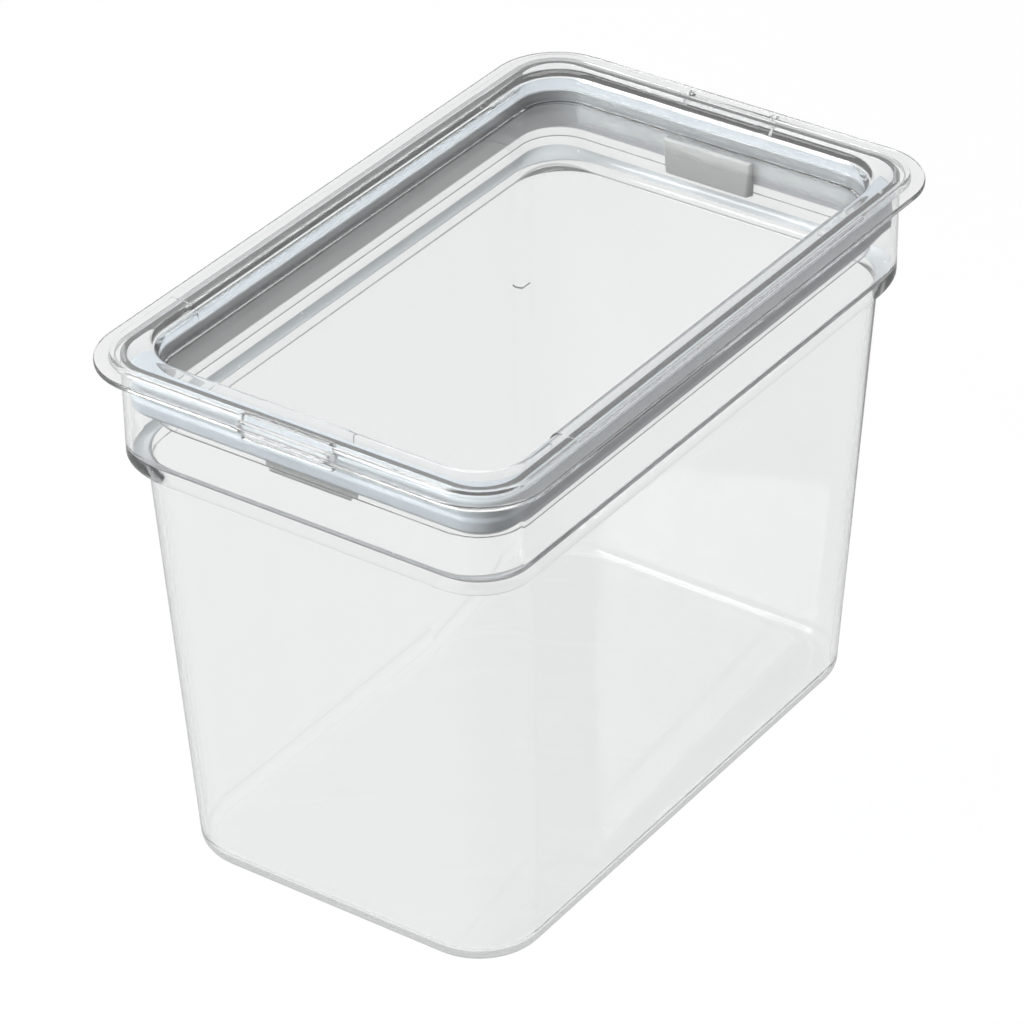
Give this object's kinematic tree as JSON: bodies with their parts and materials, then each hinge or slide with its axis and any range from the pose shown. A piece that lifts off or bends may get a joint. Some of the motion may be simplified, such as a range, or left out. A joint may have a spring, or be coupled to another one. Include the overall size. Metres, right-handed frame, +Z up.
{
  "type": "lidded food storage bin",
  "caption": "Clear tapered rectangular food storage bin with a ledge and collar, and a clear lift-off lid with a grey seal ring, stepped grip pockets and grey rim clips.",
  "frame": {"origin": "middle of the flat foot, on the surface the bin stands on", "axes": "+Z up, +Y along the length towards the rear short side, +X across the width"},
  "size_m": [0.16, 0.2528, 0.1862],
  "materials": {
    "clear_plastic": "clear polished moulding",
    "seal_rubber": "smooth satin elastomer",
    "grey_plastic": "fine matte moulding"
  },
  "bodies": {
    "bin": {"bin": "clear_plastic"},
    "lid": {"lid": "clear_plastic", "gasket": "seal_rubber", "clip_front": "grey_plastic", "clip_rear": "grey_plastic"}
  },
  "joints": [
    {"name": "lid_lift", "type": "slide", "parent": "bin", "child": "lid", "axis": [0, 0, 1], "range_m": [0, 0.12]}
  ]
}
